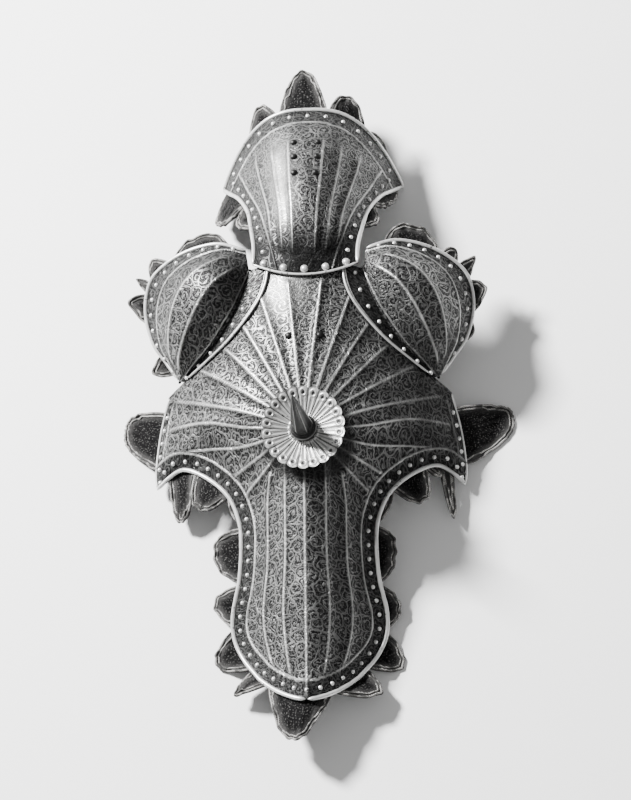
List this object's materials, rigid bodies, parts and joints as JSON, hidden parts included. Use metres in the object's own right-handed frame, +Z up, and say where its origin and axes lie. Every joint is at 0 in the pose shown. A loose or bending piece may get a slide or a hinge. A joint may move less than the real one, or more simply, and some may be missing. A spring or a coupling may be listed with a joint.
{
  "type": "chanfron",
  "caption": "Steel face defence for a horse, with side wings, domed ear guards, a flared poll plate, a rosette with a spike, and scalloped lining tabs past the rims.",
  "frame": {"origin": "on the floor under the middle of the whole piece", "axes": "+Z up out of the face, +Y from the nose to the poll, +X to the right seen from above with the poll away"},
  "size_m": [0.3805, 0.6734, 0.1919],
  "materials": {
    "steel": "blackened, etched, worn bright on the ridges",
    "bright_steel": "burnished",
    "lining": "napped"
  },
  "bodies": {
    "root": {"main_plate": "steel", "poll_plate": "steel", "ear_guard_left": "steel", "ear_guard_right": "steel", "rondel": "bright_steel", "spike": "steel", "poll_lining": "lining", "nose_lining": "lining", "poll_side_lining_left": "lining", "poll_side_lining_right": "lining", "ear_lining_left": "lining", "ear_lining_right": "lining", "wing_lining_left": "lining", "wing_lining_right": "lining", "eye_lining_left": "lining", "eye_lining_right": "lining", "cheek_lining_left": "lining", "cheek_lining_right": "lining", "joint_rivet_1": "bright_steel", "joint_rivet_2": "bright_steel", "joint_rivet_3": "bright_steel", "joint_rivet_4": "bright_steel", "joint_rivet_5": "bright_steel", "poll_rivet_left_1": "bright_steel", "poll_rivet_left_2": "bright_steel", "poll_rivet_left_3": "bright_steel", "poll_rivet_right_1": "bright_steel", "poll_rivet_right_2": "bright_steel", "poll_rivet_right_3": "bright_steel", "brow_rivet_left": "bright_steel", "brow_rivet_right": "bright_steel"}
  },
  "joints": []
}
